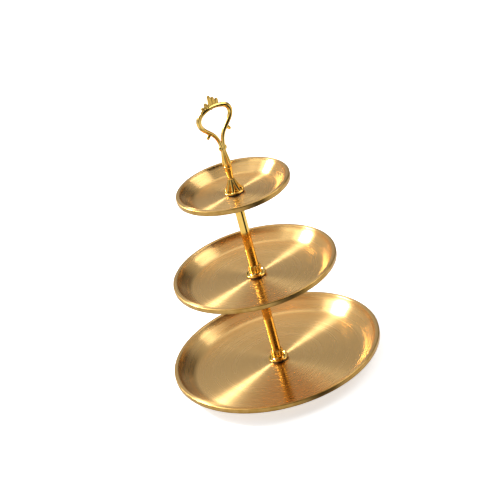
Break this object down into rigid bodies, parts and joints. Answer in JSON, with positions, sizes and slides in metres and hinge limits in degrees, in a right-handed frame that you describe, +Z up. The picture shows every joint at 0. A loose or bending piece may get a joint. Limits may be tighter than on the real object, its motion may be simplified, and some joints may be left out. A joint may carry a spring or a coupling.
{
  "type": "tiered cake stand",
  "caption": "Tiered round cake stand: graduated shallow metal trays on a threaded centre post with flared collars, topped by an ornate loop handle.",
  "frame": {"origin": "on the table, on the axis of the centre post, level with the undersides of the feet", "axes": "+Z up along the centre post, towards the crown; the loop of the handle lies in the XZ plane"},
  "size_m": [0.26, 0.26, 0.3664],
  "materials": {
    "brushed_gold": "stainless steel with a gold coating, brushed in circles round the post",
    "polished_gold": "mirror-polished gold plating",
    "steel": "bright zinc-plated steel",
    "rubber": "matt black rubber"
  },
  "bodies": {
    "base": {"base_plate": "brushed_gold", "base_foot_1": "rubber", "base_foot_2": "rubber", "base_foot_3": "rubber", "base_foot_4": "rubber", "base_washer": "steel", "base_screw": "steel"},
    "lower_post_lift": {"base_upper_gasket": "rubber"},
    "lower_post": {"lower_post_collar": "polished_gold", "lower_post_tube": "polished_gold", "lower_post_plug": "polished_gold", "lower_post_stud": "steel", "middle_lower_gasket": "rubber"},
    "middle_tray": {"middle_plate": "brushed_gold"},
    "upper_post_lift": {"middle_upper_gasket": "rubber"},
    "upper_post": {"upper_post_collar": "polished_gold", "upper_post_tube": "polished_gold", "upper_post_plug": "polished_gold", "upper_post_stud": "steel", "top_lower_gasket": "rubber"},
    "top_tray": {"top_plate": "brushed_gold"},
    "handle_lift": {"top_upper_gasket": "rubber"},
    "handle": {"handle_casting": "polished_gold"}
  },
  "joints": [
    {"name": "lower_post_rise", "type": "slide", "parent": "base", "child": "lower_post_lift", "axis": [0, 0, 1], "range_m": [0, 0.006]},
    {"name": "lower_post_turn", "type": "hinge", "parent": "lower_post_lift", "child": "lower_post", "pos_m": [0, 0, 0.007], "axis": [0, 0, 1], "range_deg": [0, 2160]},
    {"name": "middle_tray_swivel", "type": "hinge", "parent": "lower_post", "child": "middle_tray", "pos_m": [0, 0, 0.128], "axis": [0, 0, 1], "continuous": true},
    {"name": "upper_post_rise", "type": "slide", "parent": "lower_post", "child": "upper_post_lift", "axis": [0, 0, 1], "range_m": [0, 0.006]},
    {"name": "upper_post_turn", "type": "hinge", "parent": "upper_post_lift", "child": "upper_post", "pos_m": [0, 0, 0.129], "axis": [0, 0, 1], "range_deg": [0, 2160]},
    {"name": "top_tray_swivel", "type": "hinge", "parent": "upper_post", "child": "top_tray", "pos_m": [0, 0, 0.241], "axis": [0, 0, 1], "continuous": true},
    {"name": "handle_rise", "type": "slide", "parent": "upper_post", "child": "handle_lift", "axis": [0, 0, 1], "range_m": [0, 0.006]},
    {"name": "handle_turn", "type": "hinge", "parent": "handle_lift", "child": "handle", "pos_m": [0, 0, 0.242], "axis": [0, 0, 1], "range_deg": [0, 2160]}
  ],
  "couplings": [
    {"joint": "lower_post_turn", "follows": "lower_post_rise", "rad_per_m": 6283.2},
    {"joint": "upper_post_turn", "follows": "upper_post_rise", "rad_per_m": 6283.2},
    {"joint": "handle_turn", "follows": "handle_rise", "rad_per_m": 6283.2}
  ]
}
